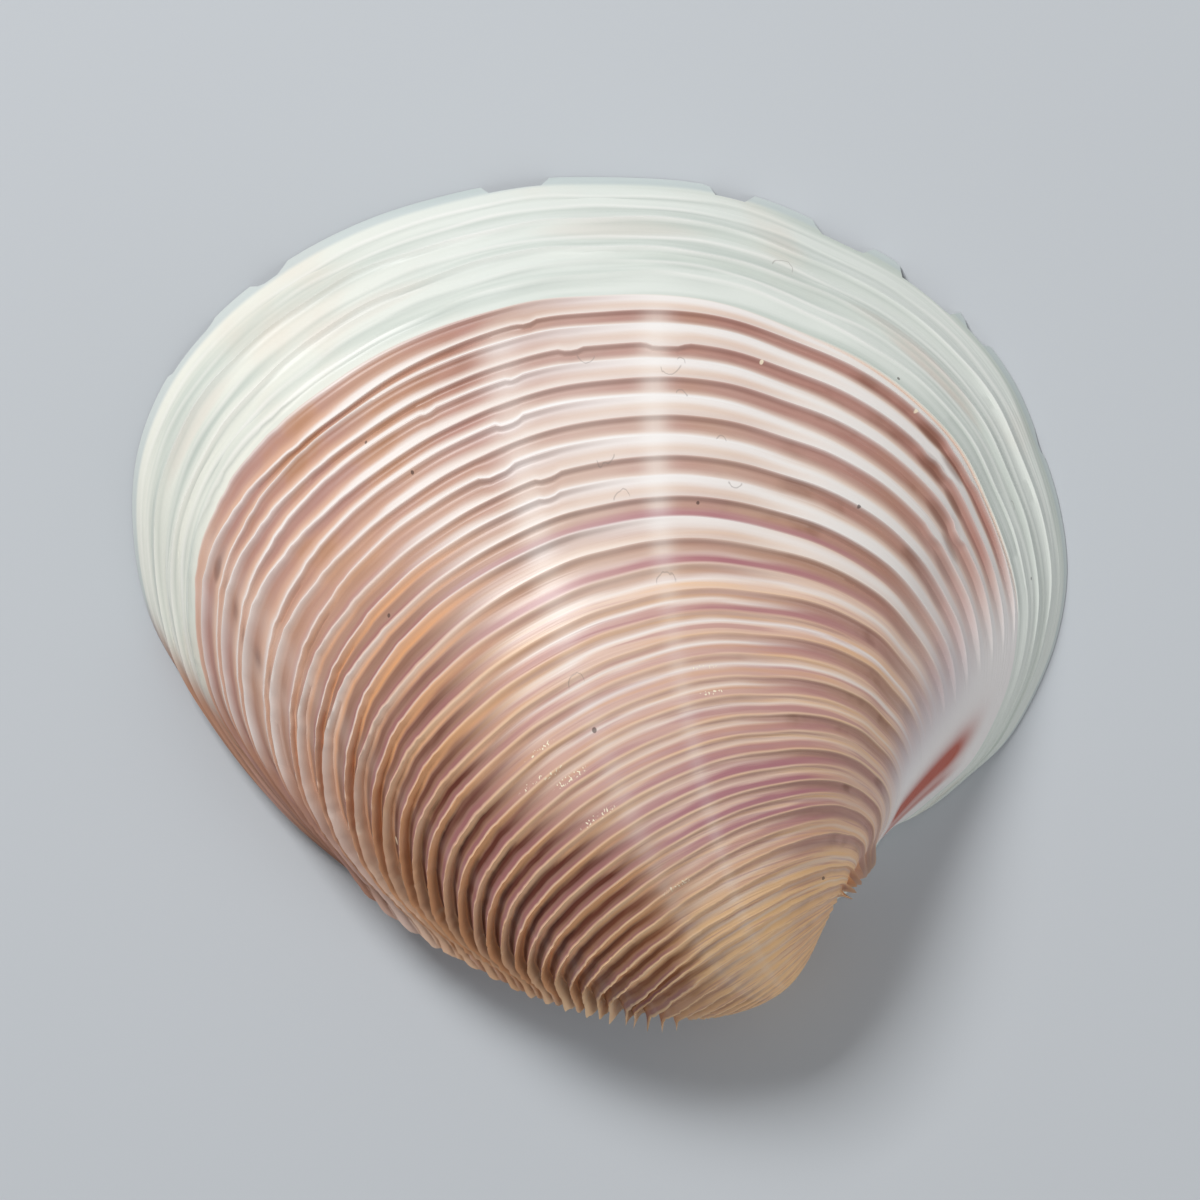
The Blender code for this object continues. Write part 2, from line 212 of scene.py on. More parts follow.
# Dark specks of dust and painted highlights (pale specks and glints) as u, turn and size; threads of dust
# with the side that shows as well.
DARK_SPECKS = ((0.488, 0.276, 0.07), (0.471, 0.348, 0.07), (0.514, 0.488, 0.08), (0.418, 0.836, 0.1),
               (0.325, 0.508, 0.07), (0.237, 0.184, 0.07), (0.235, 0.436, 0.08), (0.131, 0.14, 0.07),
               (0.209, 1.424, 0.09))
# Soft dark blotches in the brown bands, as u, turn, size and strength.
BLOTCHES = ((0.588, 0.212, 0.3, 0.8), (0.212, 0.222, 0.45, 0.7), (0.196, 0.232, 0.45, 0.6),
            (0.205, 0.27, 0.45, 0.6), (0.186, 0.276, 0.4, 0.6), (0.19, 0.325, 0.45, 0.6),
            (0.176, 0.345, 0.4, 0.5), (0.172, 0.385, 0.45, 0.5), (0.168, 0.45, 0.4, 0.4))
BLOTCH_STRETCH = 1.8
# Pale specks painted as highlights, in the glint colour.
GLINT_SPECKS = ((0.298, 0.264, 0.08), (0.224, 0.212, 0.08), (0.617, 0.680, 0.14))
# Glints: painted highlights along the ridge crests.
GLINTS = ((0.463, 0.812, 0.1), (0.459, 0.862, 0.08), (0.482, 0.852, 0.09), (0.45, 0.888, 0.12),
          (0.444, 0.984, 0.12), (0.33, 0.79, 0.08), (0.325, 0.84, 0.08), (0.404, 1.23, 0.09))
GLINT_STRETCH = 7.0  # glints are this many times as long as wide, along the ridges
FIBRES = ((0.299, 0.108, 0.45, -1), (0.378, 0.272, 0.4, 1), (0.34, 0.3, 0.35, 1),
          (0.336, 0.296, 0.22, -1), (0.333, 0.34, 0.28, -1), (0.347, 0.636, 0.4, -1),
          (0.419, 0.752, 0.35, -1), (0.373, 0.428, 0.3, 1), (0.366, 0.492, 0.3, -1),
          (0.314, 0.408, 0.2, -1), (0.305, 0.468, 0.25, 1), (0.161, 0.136, 0.2, -1))
# Soft stains of the white margin, likewise.
STAINS = ((0.222, 0.13, 0.45, 0.35), (0.245, 0.118, 0.4, 0.2), (0.47, 0.12, 0.5, 0.15),
          (0.365, 0.088, 0.6, 0.2), (0.56, 0.08, 0.45, 0.2))
STAIN_STRETCH = 6.0
FIBRE_WIDTH = 0.05
FIBRE_WANDER = 0.03
RIM_LENGTH = 112.0  # once round
TURN_LENGTH = 38.0  # for each radian of turn, at the rim

# Pale rays, red streaks in front and creases, as u, half width and strength.
RAYS = ((0.347, 0.007, 0.7), (0.417, 0.010, 0.5), (0.385, 0.03, 0.25))
RED_STREAKS = ((0.077, 0.0125, 1.2), (0.058, 0.005, 0.7))
RAYS_BY_TURN = (0.18, 0.24)
STREAKS_BY_TURN = ((0.25, 0.46), (0.80, 0.90))
CREASES = ((0.583, 0.008, 1.0), (0.607, 0.008, 1.0))


def rising(value, low, high):
    """0 below low, 1 above high and an even S between them."""
    t = np.clip((value - low) / (high - low), 0.0, 1.0)
    return t * t * (3.0 - 2.0 * t)


def falling(value, low, high):
    """1 below low, 0 above high."""
    return 1.0 - rising(value, low, high)


def hump(value, rise, fall):
    """1 between the rise and the fall, each a pair of values, and 0 outside them."""
    return rising(value, *rise) * falling(value, *fall)


def bell(value, middle, width):
    return np.exp(-((value - middle) / width) ** 2)


def bells(value, places):
    """A bell at each place, given as its middle, its width and how tall it is."""
    return sum(tall * bell(value, middle, width) for middle, width, tall in places)


def unit(vectors):
    return vectors / np.linalg.norm(vectors, axis=1)[:, None]


def blend(start, end, share):
    return start + (end - start) * share


def closed_curve(points, steps=24):
    """Smooth closed curve through the points, with the length run so far as a share of the whole."""
    points = np.asarray(points, float)
    count = len(points)
    pieces = []
    for i in range(count):
        p = [points[(i + k) % count] for k in (-1, 0, 1, 2)]
        knots = np.cumsum([0.0] + [np.linalg.norm(p[k + 1] - p[k]) ** 0.5 for k in range(3)])
        t = np.linspace(knots[1], knots[2], steps, endpoint=False)[:, None]

        def mix(a, b, start, end):
            return ((end - t) * a + (t - start) * b) / (end - start)

        a = [mix(p[k], p[k + 1], knots[k], knots[k + 1]) for k in range(3)]
        b = [mix(a[k], a[k + 1], knots[k], knots[k + 2]) for k in range(2)]
        pieces.append(mix(b[0], b[1], knots[1], knots[2]))
    curve = np.vstack(pieces + [points[:1]])
    length = np.concatenate(([0.0], np.cumsum(np.linalg.norm(np.diff(curve, axis=0), axis=1))))
    return curve, length / length[-1]


CURVE, SHARE = closed_curve(RIM)


def rim_point(u):
    return np.column_stack([np.interp(u % 1.0, SHARE, CURVE[:, k]) for k in range(2)])


def rim_outward(u):
    """Unit vectors in the rim's plane, square to the rim and pointing outwards."""
    along = unit(rim_point(u + 0.004) - rim_point(u - 0.004))
    return np.column_stack((along[:, 1], -along[:, 0]))


def young_bulge(turn, u):
    angle = 2.0 * np.pi * u
    bulge = sum(c * np.cos(k * angle) + s * np.sin(k * angle) for k, (c, s) in enumerate(YOUNG_BULGE))
    return bulge * (1.0 - np.exp(-YOUNG_RATE * turn))


def shrink(turn):
    return np.exp(-(SHRINK + SHRINK_MORE * turn) * turn)


def grow(turn, u, inset=0.0):
    """Points of the growth surface, each at its own turn and u, drawn in towards the middle by inset."""
    turn = np.broadcast_to(turn, u.shape)
    rim = rim_point(u)
    inset = np.broadcast_to(inset, u.shape)[:, None]
    outline = rim + young_bulge(turn, u)[:, None] * rim_outward(u) + inset * unit(MIDDLE - rim)
    arm = np.column_stack((outline, np.zeros(len(u)))) - BEAK
    axis = np.array((np.cos(AXIS_HEADING) * np.cos(AXIS_RISE),
                     np.sin(AXIS_HEADING) * np.cos(AXIS_RISE), np.sin(AXIS_RISE)))
    along = (arm @ axis)[:, None] * axis
    turned = np.cos(turn)[:, None] * (arm - along) + np.sin(turn)[:, None] * np.cross(axis, arm)
    return BEAK + shrink(turn)[:, None] * (along + turned)


def growth_step(turn, u):
    """Distance on the surface for each radian of turn."""
    return np.linalg.norm(grow(turn + 0.01, u) - grow(turn - 0.01, u), axis=1) / 0.02


def outward(turn, u):
    """Unit normals of the growth surface, pointing out of the shell."""
    by_turn = grow(turn + 0.01, u) - grow(turn - 0.01, u)
    by_u = grow(turn, u + 0.003) - grow(turn, u - 0.003)
    return unit(np.cross(by_u, by_turn))


def hinge_share(u):
    """1 along the hinge, 0 round the open rim."""
    return hump(u, *HINGE_SIDE)


def plate_share(u):
    """1 where the hinge plate lies its full depth back from the rest plane."""
    return hump(u, *PLATE_SIDE)


def edge_turn(u):
    """The turn at which the rim starts: 0, or further back at a chip."""
    depth = np.zeros(len(u))
    for start, end, deep in CHIPS:
        inside = hump(u, (start - CHIP_EDGE, start + CHIP_EDGE), (end - CHIP_EDGE, end + CHIP_EDGE))
        depth = np.maximum(depth, deep * inside)
    return depth / (SHRINK * np.linalg.norm(rim_point(u) - BEAK[:2], axis=1))


def waver(u, strand):
    """Gentle irregular wander along a growth line, alike on neighbouring lines."""
    total = np.zeros(len(u))
    for k, cycles in enumerate((3, 5, 9, 15, 26)):
        phase = 1.7 * k + 2.1 * k * k + strand * (0.25 + 0.22 * k)
        total += np.sin(2.0 * np.pi * cycles * u + phase) / (2.0 + k)
    return total


def ridge_kind(index):
    return ("short", "long")[index % 2] if index < len(RIDGES) else "fine"


def vary(index, strand=0.0):
    """A number from -1 to 1 that differs from ridge to ridge."""
    return np.sin(12.99 * index + 4.1 * strand * strand + 1.7 * strand)


def nibble(u, strand):
    """Short-waved rise and fall along a worn or broken edge."""
    total = np.zeros(len(u))
    for k, cycles in enumerate((41, 57, 83, 109)):
        total += np.sin(2.0 * np.pi * cycles * u + 2.3 * k + strand * (1.3 + 0.9 * k))
    return total / 4.0


def crest_turn(index, u):
    """Where a ridge crests at each u: through its four stations, with a slight wander and its lobes."""
    if index >= len(RIDGES):
        last = len(RIDGES) - 1
        wander = FINE_WANDER[0] * waver(u, 2.7 * index) + FINE_WANDER[1] * nibble(u, index)
        return crest_turn(last, u) + FINE_RIDGES[0] * (index - last) + wander
    turns = RIDGES[index]
    shifts = (-STATION_BLEND, 0.0, STATION_BLEND)
    before, here, after = [np.interp(u + shift, RIDGE_STATIONS, turns) for shift in shifts]
    zones = (1.0, falling(u, *STRAY_FRONT), rising(u, *STRAY_BACK), rising(turns[1], *STRAY_BEAK))
    long_stray = sum(stray * zone for stray, zone in zip(LONG_STRAY, zones))
    short_stray = sum(stray * zone for stray, zone in zip(SHORT_STRAY, zones))
    crest = 0.25 * before + 0.5 * here + 0.25 * after
    crest = crest + long_stray * waver(u, 0.4 * index) + short_stray * nibble(u, 0.7 * index)
    for ridge, middle, half, depth in LOBES:
        if ridge == index:
            crest = crest + depth * falling(np.abs(u - middle) / half, 0.5, 1.2)
    return crest


def blade_share(turn, u):
    """1 where the ridges stand as tall blades, on the back slope."""
    return rising(u, *BLADES_BY_U) * rising(turn, *BLADES_BY_TURN)


def tip_lift(index, turn, u):
    """How far the pointed ends of the long ridges stand out, behind and in front of the beak."""
    total = np.zeros(len(u))
    if ridge_kind(index) == "short":
        return total
    for turns, places, tall, width in (BACK_TIPS, FRONT_TIPS):
        grown = rising(turn, turns[0], turns[0] + TIP_START) * (turn < turns[-1])
        total += tall * bell(u, np.interp(turn, turns, places), width) * grown
    return total


def ridge_height(turn, u):
    """Full height of the ridges: low across the middle, tall blades on the back slope, worn on the beak."""
    by_beak = rising(turn, *YOUNG_FRONT_BY_TURN) * rising(u, *YOUNG_FRONT_FADE)
    reach = np.maximum(rising(u, *FRONT_FADE), by_beak)
    full = RIDGE_HEIGHT + FRONT_HEIGHT * falling(u, *TALL_FRONT) + BLADE_HEIGHT * blade_share(turn, u)
    full = full * reach * (1.0 - CALM * rising(turn, *CALM_BY_TURN) * falling(u, *CALM_BY_U))
    worn = blend(*WORN_HEIGHT, rising(u, *WORN_BY_U))
    full = blend(full, worn, rising(turn, *WORN_BY_TURN))
    past_tip = rising(u - np.interp(turn, *BACK_TIPS[:2]), *PAST_TIP)
    past_tip = past_tip * rising(turn, *PAST_TIP_BY_TURN)
    return full * falling(u, *HINGE_FADE) * falling(turn, *BEAK_SMOOTH) * (1.0 - PAST_TIP_LOSS * past_tip)


def ridge_reach(index, turn, u):
    """How fully a ridge stands clear of the one behind it: less than 1 where a short one fades."""
    if ridge_kind(index) != "short":
        return np.ones(len(u))
    start = blend(*SHORT_FADE, rising(turn, *SHORT_BY_TURN))
    lost = SHORT_LOSS * rising(u, *SHORT_LOSS_BY_U) * falling(turn, *SHORT_LOSS_BY_TURN)
    return rising((u - start) / SHORT_FADE_WIDTH, 0.0, 1.0) * (1.0 - lost)


def wave_turn(k, u):
    """The turn at which a growth wave of the margin crests."""
    return MARGIN_WAVES[k][0] + WAVE_STRAY * waver(u, 3.0 * k) * (1.0 - hinge_share(u))


def margin_relief(turn, u):
    """Soft growth waves of the white margin, each steeper towards the beak."""
    lift = np.zeros(len(u))
    for k, (_, height) in enumerate(MARGIN_WAVES):
        behind = turn - wave_turn(k, u)
        lift += height * bell(behind, 0.0, np.where(behind < 0.0, *WAVE_WIDTHS))
    return lift * (1.0 - hinge_share(u)) * blend(FRONT_TRACE, 1.0, rising(u, *FRONT_WAVES))


def spread(count, hinge_count):
    """u of a row's points: hinge_count of them along the hinge, the rest round the open rim."""
    open_u = np.linspace(0.0, HINGE_START, count - hinge_count, endpoint=False)
    return np.concatenate((open_u, np.linspace(HINGE_START, 1.0, hinge_count, endpoint=False)))


def row_u(turn):
    """u of an outer row's points, few of them along the hinge."""
    count = next(count for limit, count in ROW_COUNTS if turn <= limit)
    return spread(count, max(FEWEST_HINGE_POINTS, round(HINGE_POINTS * count)))


def ridge_row(index, phase):
    """A row of points across the ridges, phase of the way from one crest to the next one."""
    u = row_u(blend(crest_middle(index), crest_middle(index + 1), 0.5))
    here = crest_turn(index, u)
    behind = np.maximum(crest_turn(index + 1, u), here + CLOSEST)
    turn = blend(here, behind, phase)
    height = ridge_height(turn, u) * (1.0 + UNEVEN * vary((index + 1) // 2))
    by_crest = falling(min(phase, 1.0 - phase), 0.0, CREST_WIDTH)
    ragged = RAGGED * blade_share(turn, u) * (nibble(u, index) + 0.5 * vary(index, 3.0))
    crest = CREST_SHARE * height + (ragged + tip_lift(index, turn, u)) * by_crest
    gap = (behind - here) * growth_step(turn, u)
    lift = crest - hollow_depth(index, phase, turn, u, height, gap)
    points = grow(turn, u) + lift[:, None] * outward(turn, u)
    return points, u, turn, ridge_marks(Stretch(index, phase, turn, u))


def hollow_depth(index, phase, turn, u, height, gap):
    """How far the surface lies below the crests, phase of the way to the next one.

    Where a short ridge has faded, the slope that starts behind a long ridge runs on to the next long one.
    """
    blades = blade_share(turn, u)
    foot = blend(*FOOT, blades)
    fall = rising(phase, 0.0, foot)
    rise = np.clip((phase - foot) / (1.0 - foot), 0.0, 1.0) ** blend(*RISE_POWER, blades)
    short = ridge_kind(index) == "short"
    faded = (1.0 - ridge_reach(index if short else index + 1, turn, u)) * falling(u, *PAIR_BY_U)
    drop = np.minimum(height, STEEPEST * gap) * fall * (1.0 - rise)
    if short:
        paired = height * (1.0 - blend(PAIR_SHARE, 1.0, phase) ** PAIR_POWER)
        return drop * ridge_reach(index, turn, u) + paired * faded
    paired = height * fall * (1.0 - (PAIR_SHARE * phase) ** PAIR_POWER)
    return blend(drop, paired, faded)


def crest_middle(index):
    """The turn of a ridge at the middle of the shell."""
    last = len(RIDGES) - 1
    return RIDGES[min(index, last)][1] + FINE_RIDGES[0] * max(0, index - last)


# Zones of the colour bands.
INNER_BANDS = (0.50, 0.66)
BACK_BANDS = (0.41, 0.48)
FRONT_BANDS = (0.24, 0.31)
FAR_BACK = (0.50, 0.56)
WORN_BANDS = (1.15, 1.45)
# The dark lower back of the shell: the u where it starts, how much further forward it starts on the young
# shell, how unevenly, and the u that it takes to deepen. It also takes in the steep flank.
LOW_START = 0.445
LOW_WIDER = 0.05
LOW_WIDER_BY_TURN = (0.55, 1.25)
LOW_UNEVEN = 0.022
LOW_WIDTH = 0.09
LOW_BY_TURN = (0.30, 0.52)
LOW_FLANK = 0.8
FLANK_BY_TURN = (0.34, 0.50)
FLANK_BY_U = (0.63, 0.69)
LOW_LOSS = 0.8
LOW_LOSS_BY_TURN = (1.50, 1.80)
# How far the bands stray from their places, along a ridge and from ridge to ridge, as shares of the way.
BAND_STRAY = (0.06, 0.05)
# Shares of the way over which the brown behind a crest fades: outer middle, outer back, inner shell, front.
BROWN_ENDS = ((0.50, 1.05), (0.40, 0.84), (0.12, 0.50))
FRONT_BROWN_END = (0.26, 0.56)
FLAT_BROWN = (0.10, 0.25)  # where a short ridge has faded, and added towards the next crest
# Where the white starts and ends.
FRONT_WHITE_START = (0.45, 0.65)
LONG_WHITE_START = (0.78, 0.98)
SHORT_WHITE_END = (0.25, 0.60)
SHORT_WHITE_START = (0.7, 0.9)
BACK_WHITE_START = (0.52, 0.84)  # in the middle and on the back
BACK_WHITE_BY_U = (0.44, 0.54)
BACK_WHITE_WIDTH = 0.12
INNER_WHITE = ((0.28, 0.40), (0.50, 0.62))
INNER_WHITE_LOSS = (0.62, 1.0)
PURPLE_START = (0.46, 0.64)
PURPLE_END = (0.94, 0.98)
PURPLE_BY_TURN = ((0.45, 0.56), (0.66, 0.82))  # behind long and behind short ridges
PURPLE_OVER = (1.05, 1.35)
PURPLE_BY_U = (0.17, 0.27)
PURPLE_LOSS = (0.46, 0.58)
WIDE_LINES = (0.38, 0.50)
# Dark gaps, partly their own brown and partly painted shade: in the dark zone and on the worn beak.
DEEP = ((0.20, 0.36), (0.58, 0.84))
DEEPER_BY_TURN = (0.45, 0.80)
WORN_GAP = ((0.15, 0.35), (0.55, 0.8))
WORN_GAP_BY_U = (0.34, 0.44)
TAN_END = (0.22, 0.38)
MAUVE_START = (0.58, 0.80)
MAUVE_END = (0.92, 0.97)
# A dark blot in each outer gap near the back end: u, how far that strays, and its size in u and share.
BLOT = (0.588, 0.014)
BLOT_SIZE = (0.0045, 0.25)
BLOT_OVER = (0.34, 0.42)


class Stretch:
    """A row of points, phase of the way from a crest to the next one, and the colour zones it crosses."""

    def __init__(self, index, phase, turn, u):
        self.index, self.phase, self.turn, self.u = index, phase, turn, u
        self.short = ridge_kind(index) == "short"
        self.reach = ridge_reach(index, turn, u)
        self.reach_behind = ridge_reach(index + 1, turn, u)
        self.inner = rising(turn, *INNER_BANDS)
        self.back = rising(u, *BACK_BANDS)
        self.front = falling(u, *FRONT_BANDS)
        self.outer_middle = (1.0 - self.back) * (1.0 - self.front) * (1.0 - self.inner)
        self.worn = rising(turn, *WORN_BANDS)
        self.low = low_zone(index, turn, u)
        self.place = phase + BAND_STRAY[0] * waver(u, 5.0 * index) + BAND_STRAY[1] * vary(index, 1.0)
        self.pair_place = 0.5 * self.place + 0.5 * self.short


def low_zone(index, turn, u):
    """1 on the dark lower back, where tan ridges stand over deep brown gaps."""
    start = LOW_START - LOW_WIDER * rising(turn, *LOW_WIDER_BY_TURN) + LOW_UNEVEN * vary(index, 10.0)
    low = rising(turn, *LOW_BY_TURN) * rising(u - start, 0.0, LOW_WIDTH)
    flank = LOW_FLANK * rising(turn, *FLANK_BY_TURN) * rising(u, *FLANK_BY_U)
    return np.maximum(low, flank) * (1.0 - LOW_LOSS * rising(turn, *LOW_LOSS_BY_TURN))


def brown_share(row):
    """The brown band behind each crest, and a trace of it on the flat where a short ridge has faded."""
    middle, back, inner = BROWN_ENDS
    ends = [blend(blend(middle[k], back[k], row.back), inner[k], row.inner) for k in range(2)]
    band = falling(row.place, *ends) * row.reach * (0.92 + 0.12 * vary(row.index, 2.0))
    flat = (1.0 - row.reach) * (1.0 - row.front) * (FLAT_BROWN[0] + FLAT_BROWN[1] * row.phase ** 2)
    brown = (band + flat) * blend(1.0, 0.8 + 0.2 * vary(row.index, 5.0), row.inner)
    brown = blend(brown, falling(row.pair_place, *FRONT_BROWN_END), row.front)
    return brown * (1.0 - row.low) * (1.0 - 0.6 * row.worn)


def white_share(row):
    """White ahead of each crest, partly the shell's own white and partly a painted highlight on the slope
    facing the light: broad on the outer shell, a narrow line on the young one.
    """
    if row.short:
        white = 0.95 * falling(row.place, *SHORT_WHITE_END)
        white = white + 0.45 * rising(row.place, *SHORT_WHITE_START)
    else:
        white = rising(row.place, *LONG_WHITE_START)
    white = blend(white, 0.85 * rising(row.pair_place, *FRONT_WHITE_START), row.front)
    start = blend(*BACK_WHITE_START, rising(row.u, *BACK_WHITE_BY_U))
    white = blend(white, 0.8 * rising(row.place - start, 0.0, BACK_WHITE_WIDTH), row.back)
    inner = hump(row.place, *INNER_WHITE) * (0.55 + 0.3 * vary(row.index, 6.0))
    inner = inner * (1.0 - 0.5 * rising(row.turn, *INNER_WHITE_LOSS)) * (1.0 - 0.6 * row.back)
    return blend(white, inner, row.inner) * (1.0 - row.low)


def purple_share(row):
    """Purple over the later half of the way, on the young shell."""
    band = rising(row.place, *PURPLE_START) * falling(row.phase, *PURPLE_END)
    zone = hump(row.turn, PURPLE_BY_TURN[row.short], PURPLE_OVER) * rising(row.u, *PURPLE_BY_U)
    zone = zone * (1.0 - 0.6 * rising(row.u, *PURPLE_LOSS)) * (1.0 - row.low)
    return band * zone * (0.8 + 0.4 * vary(row.index, 4.0))


def line_share(row):
    """The fine bright line along each crest, partly the crest's own pale colour and partly a painted
    highlight, wider on the blades and the worn ridges.
    """
    far_back = rising(row.u, *FAR_BACK) * (0.7 - 0.4 * row.short)
    wide = np.maximum(row.worn * rising(row.u, *WIDE_LINES), np.maximum(far_back, row.low))
    by_phase = {0.0: row.reach, RIDGE_PHASES[1]: (0.4 + 0.5 * wide) * row.reach,
                RIDGE_PHASES[2]: 0.5 * wide * row.reach, RIDGE_PHASES[-1]: 0.8 * row.reach_behind}
    line = by_phase.get(row.phase, np.zeros(len(row.u)))
    line = line * (1.0 - 0.85 * row.outer_middle)
    line = line * (1.0 - (0.7 if row.short else 0.1) * row.low * (1.0 - row.worn))
    line = line * (1.0 - 0.5 * row.worn * (1.0 - row.back)) * (0.8 + 0.2 * waver(row.u, 1.1 * row.index))
    return line * (1.0 - row.inner * (1.0 - row.back) * (0.3 + 0.3 * vary(row.index, 9.0)))


def gap_share(row):
    """The dark of the gaps, partly their own brown and partly painted shade: deep in the dark zone and on
    the worn beak, a trace of painted shadow under the outer crests.
    """
    deep = hump(row.place, *DEEP) * row.low * blend(0.6, 1.0, rising(row.turn, *DEEPER_BY_TURN))
    worn = hump(row.place, *WORN_GAP) * (1.0 - row.low) * row.worn
    worn = worn * (0.15 + 0.5 * rising(row.u, *WORN_GAP_BY_U))
    # Painted shadow just behind the outer crests.
    crest_shadow = 0.35 * row.outer_middle * row.reach * (row.phase in RIDGE_PHASES[1:3])
    blot = bell(row.u, BLOT[0] + BLOT[1] * vary(row.index, 7.0), BLOT_SIZE[0])
    blot = blot * bell(row.phase, 0.5, BLOT_SIZE[1]) * max(0.0, 0.6 + 0.6 * vary(row.index, 8.0))
    return deep + worn + crest_shadow + 0.5 * blot * falling(row.turn, *BLOT_OVER)


def ridge_marks(row):
    """How much of each colour lies here, between a crest and the next one behind it."""
    tan = falling(row.place, *TAN_END) * row.low * (1.0 if row.short else 0.6)
    mauve = rising(row.place, *MAUVE_START) * falling(row.phase, *MAUVE_END) * row.low
    return {"brown": brown_share(row), "white": white_share(row), "purple": purple_share(row),
            "line": line_share(row), "gap": gap_share(row), "mauve": mauve, "tan": tan}


def margin_row(number, wave, offset):
    """A row of the white margin: the edge for number 0, then rows at a wave or before the first ridge."""
    u = row_u(0.0)
    start, end = edge_turn(u), crest_turn(0, u)
    if number == 0:
        turn = start
    elif wave is None:
        turn = end + offset
    else:
        first, last = start + MARGIN_STEP * number, end - MARGIN_STEP * (MARGIN_STEPS - number)
        turn = np.clip(wave_turn(wave, u) + offset, first, last)
    crest_lift = CREST_SHARE * ridge_height(turn, u) * rising(turn, end - FIRST_RIDGE_WIDTH, end)
    points = grow(turn, u) + (crest_lift + margin_relief(turn, u))[:, None] * outward(turn, u)
    along = (0.5 + 0.5 * waver(u, 7.0 * number)) * rising(u, *FRONT_WAVES)
    # At each wave's crest a painted highlight, and just behind it painted shade.
    bright, wave_shade = along * (offset == WAVE_ROWS[2]), along * (offset == WAVE_ROWS[3])
    return points, u, turn, {"margin": np.ones(len(u)), "bright": bright, "wave_shade": wave_shade}


def beak_row(turn):
    u = row_u(turn)
    return grow(turn, u), u, np.full(len(u), turn), {}


def outer_rows():
    places = [(None, None)] + [(k, offset) for k in range(len(MARGIN_WAVES)) for offset in WAVE_ROWS]
    places += [(None, offset) for offset in BORDER_ROWS]
    rows = [margin_row(number, *place) for number, place in enumerate(places)]
    for index in range(len(RIDGES) + FINE_RIDGES[1] - 1):
        phases = FINE_PHASES if ridge_kind(index) == "fine" else RIDGE_PHASES
        rows += [ridge_row(index, phase) for phase in phases]
    last = crest_middle(len(RIDGES) + FINE_RIDGES[1] - 1)
    return rows + [beak_row(turn) for turn in np.linspace(last, LAST_TURN, SMOOTH_BEAK_ROWS)]


def edge_row():
    """The inner line of the flat edge on which the valve rests."""
    u = row_u(0.0)
    width = EDGE_WIDTH + (HINGE_EDGE_WIDTH - EDGE_WIDTH) * hinge_share(u)
    return grow(edge_turn(u), u, width), u, np.zeros(len(u)), {}


def plate_row(open_turn, open_inset, hinge_inset, tooth_share):
    """A row that runs along the hinge plate and round the foot of the wall."""
    u = spread(INNER_COUNT, INNER_HINGE_COUNT)
    hinge = hinge_share(u)
    turns = np.maximum(open_turn * (1.0 - hinge), edge_turn(u) + 0.3 * open_turn)
    points = grow(turns, u, open_inset + (hinge_inset - open_inset) * hinge)
    points[:, 2] += plate_share(u) * (PLATE_DEPTH - tooth_share * bells(u, TEETH))
    return points, u, turns, {}


def hollow_row(turn):
    """A row of the inside of the dome, a wall's thickness inside the outer face."""
    u = spread(INNER_COUNT, INNER_HINGE_COUNT)
    hinge = hinge_share(u)
    wall = WALL / shrink(turn)
    inset = wall + np.maximum(HINGE_WIDTH - wall, 0.0) * hinge
    points = grow(np.full(len(u), turn), u, inset)
    points[:, 2] += plate_share(u) * PLATE_DEPTH * shrink(turn)
    return points, u, np.full(len(u), turn), {}


def inner_rows():
    rows = [edge_row()] + [plate_row(*row) for row in PLATE_ROWS]
    return rows + [hollow_row(turn) for turn in np.linspace(*HOLLOW_TURNS, HOLLOW_STEPS)]


def bridge(u_a, u_b, start_a, start_b):
    """Triangles between two rows, stepping along whichever row is further behind."""
    count_a, count_b = len(u_a), len(u_b)
    ahead_a = np.append(u_a[1:], 1.0)
    ahead_b = np.append(u_b[1:], 1.0)
    a = b = 0
    faces = []
    while a < count_a or b < count_b:
        here_a = start_a + a % count_a
        here_b = start_b + b % count_b
        if b == count_b or (a < count_a and ahead_a[a] <= ahead_b[b]):
            a += 1
            faces.append((here_a, here_b, start_a + a % count_a))
        else:
            b += 1
            faces.append((here_a, here_b, start_b + b % count_b))
    return faces


def close_row(start, count, tip):
    return [(start + i, start + (i + 1) % count, tip) for i in range(count)]


def build_valve(outside, inside):
    """The whole valve as one closed mesh: outer face, flat edge, hinge plate and hollow."""
    outer, inner = outer_rows(), inner_rows()
    rows = outer[::-1] + inner
    around = [u for _, u, _, _ in rows]
    starts = np.cumsum([0] + [len(u) for u in around]).tolist()
    faces = close_row(starts[0], len(around[0]), starts[-1])
    for row in range(len(rows) - 1):
        if row == len(outer) - 1:
            outer_faces = len(faces)
        faces += bridge(around[row], around[row + 1], starts[row], starts[row + 1])
    faces += [face[::-1] for face in close_row(starts[-2], len(around[-1]), starts[-1] + 1)]
    tips = [points.mean(axis=0)[None] for points in (rows[0][0], rows[-1][0])]
    points = np.vstack([points for points, _, _, _ in rows] + tips) - PART_MIDDLE
    mesh = bpy.data.meshes.new("valve")
    mesh.from_pydata((points * MM).tolist(), [], faces)
    mesh.materials.append(outside)
    mesh.materials.append(inside)
    mesh.polygons.foreach_set("material_index", [int(i >= outer_faces) for i in range(len(faces))])
    add_marks(mesh, rows)
    mesh.shade_smooth()
    mesh.set_sharp_from_angle(angle=np.radians(CREASE_ANGLE))
    valve = bpy.data.objects.new("valve", mesh)
    bpy.context.scene.collection.objects.link(valve)
    return valve


def radial_marks(turn, u):
    """Marks that run from the beak to the edge: pale rays, creases on the back slope, the red streaks."""
    return {"ray": bells(u, RAYS) * rising(turn, *RAYS_BY_TURN), "crease": bells(u, CREASES),
            "streak": bells(u, RED_STREAKS) * hump(turn, *STREAKS_BY_TURN)}


